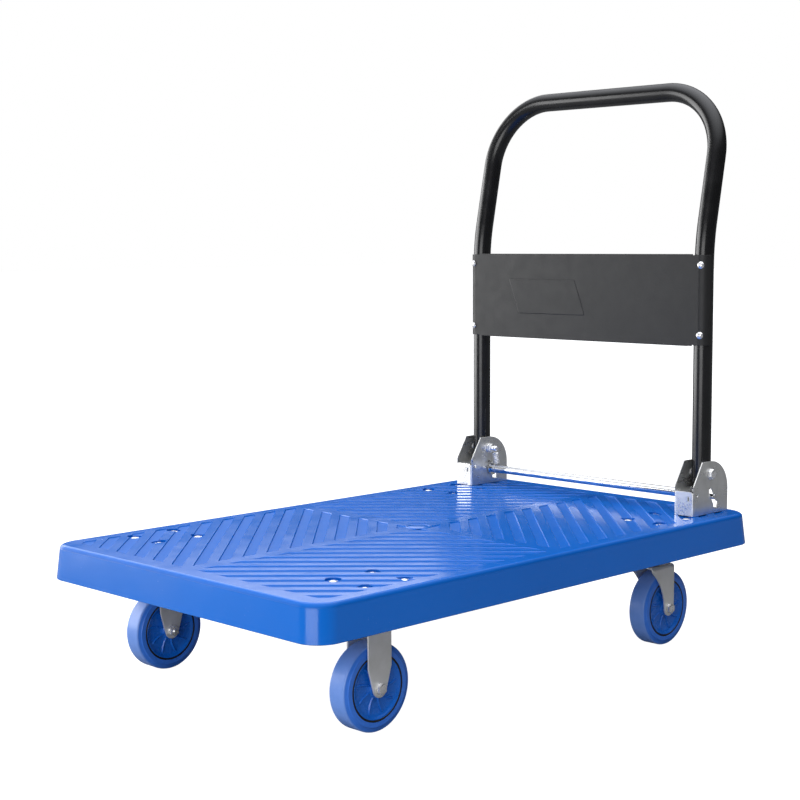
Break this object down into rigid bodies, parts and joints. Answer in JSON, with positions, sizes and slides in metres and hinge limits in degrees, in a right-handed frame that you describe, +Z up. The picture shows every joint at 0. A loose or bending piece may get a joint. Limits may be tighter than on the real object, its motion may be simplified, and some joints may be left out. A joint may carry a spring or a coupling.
{
  "type": "folding platform cart",
  "caption": "Low flat platform on casters with a grooved moulded deck and a fold-down tubular push handle held by a sprung foot-worked lock rod.",
  "frame": {"origin": "on the floor, under the middle of the deck", "axes": "+X along the deck towards the handle, +Y across the deck, +Z up"},
  "size_m": [0.9, 0.56, 0.8478],
  "materials": {
    "deck": "glossy moulded blue plastic",
    "hub": "satin moulded blue plastic",
    "tyre": "smooth blue rubber",
    "dark": "black plastic",
    "zinc": "bright zinc plate",
    "chrome": "polished chrome plate",
    "black": "black powder coat, satin"
  },
  "bodies": {
    "platform": {"deck": "deck", "front_fork_left": "zinc", "axle_bush_front_left": "zinc", "axle_bolt_front_left": "zinc", "axle_nut_front_left": "zinc", "rear_plate_left": "zinc", "swivel_race_left": "zinc", "kingpin_left": "zinc", "bracket_left": "zinc", "pivot_bolt_left": "zinc", "pivot_nut_left": "zinc", "bracket_bolt_left_front": "zinc", "bracket_bolt_left_back": "zinc", "return_spring_left": "zinc", "front_fork_right": "zinc", "axle_bush_front_right": "zinc", "axle_bolt_front_right": "zinc", "axle_nut_front_right": "zinc", "rear_plate_right": "zinc", "swivel_race_right": "zinc", "kingpin_right": "zinc", "bracket_right": "zinc", "pivot_bolt_right": "zinc", "pivot_nut_right": "zinc", "bracket_bolt_right_front": "zinc", "bracket_bolt_right_back": "zinc", "return_spring_right": "zinc"},
    "handle": {"handle_tube": "black", "handle_panel": "black", "panel_screw_left_low": "zinc", "panel_screw_left_high": "zinc", "panel_screw_right_low": "zinc", "panel_screw_right_high": "zinc", "foot_plug_left": "dark", "foot_plug_right": "dark"},
    "lock": {"lock_rod": "chrome", "rod_washer_left": "chrome", "rod_washer_right": "chrome"},
    "swivel_left": {"rear_fork_left": "zinc", "axle_bush_rear_left": "zinc", "axle_bolt_rear_left": "zinc", "axle_nut_rear_left": "zinc"},
    "swivel_right": {"rear_fork_right": "zinc", "axle_bush_rear_right": "zinc", "axle_bolt_rear_right": "zinc", "axle_nut_rear_right": "zinc"},
    "wheel_front_left": {"tyre_front_left": "tyre", "wheel_ring_front_left": "dark", "hub_front_left": "hub"},
    "wheel_front_right": {"tyre_front_right": "tyre", "wheel_ring_front_right": "dark", "hub_front_right": "hub"},
    "wheel_rear_left": {"tyre_rear_left": "tyre", "wheel_ring_rear_left": "dark", "hub_rear_left": "hub"},
    "wheel_rear_right": {"tyre_rear_right": "tyre", "wheel_ring_rear_right": "dark", "hub_rear_right": "hub"}
  },
  "joints": [
    {"name": "handle_fold", "type": "hinge", "parent": "platform", "child": "handle", "pos_m": [0.3865, 0, 0.251], "axis": [0, -1, 0], "range_deg": [0, 90]},
    {"name": "lock_press", "type": "slide", "parent": "platform", "child": "lock", "axis": [0.5299, 0, -0.848], "range_m": [0, 0.01], "stiffness_N_per_m": 2500, "springref_m": -0.006, "deforming": ["return_spring_left", "return_spring_right"]},
    {"name": "swivel_turn_left", "type": "hinge", "parent": "platform", "child": "swivel_left", "pos_m": [0.2865, 0.2115, 0.1225], "axis": [0, 0, 1], "continuous": true},
    {"name": "swivel_turn_right", "type": "hinge", "parent": "platform", "child": "swivel_right", "pos_m": [0.2865, -0.2115, 0.1225], "axis": [0, 0, 1], "continuous": true},
    {"name": "wheel_spin_front_left", "type": "hinge", "parent": "platform", "child": "wheel_front_left", "pos_m": [-0.303, 0.2115, 0.056], "axis": [0, 1, 0], "continuous": true},
    {"name": "wheel_spin_front_right", "type": "hinge", "parent": "platform", "child": "wheel_front_right", "pos_m": [-0.303, -0.2115, 0.056], "axis": [0, 1, 0], "continuous": true},
    {"name": "wheel_spin_rear_left", "type": "hinge", "parent": "swivel_left", "child": "wheel_rear_left", "pos_m": [0.3, 0.2115, 0.056], "axis": [0, 1, 0], "continuous": true},
    {"name": "wheel_spin_rear_right", "type": "hinge", "parent": "swivel_right", "child": "wheel_rear_right", "pos_m": [0.3, -0.2115, 0.056], "axis": [0, 1, 0], "continuous": true}
  ]
}
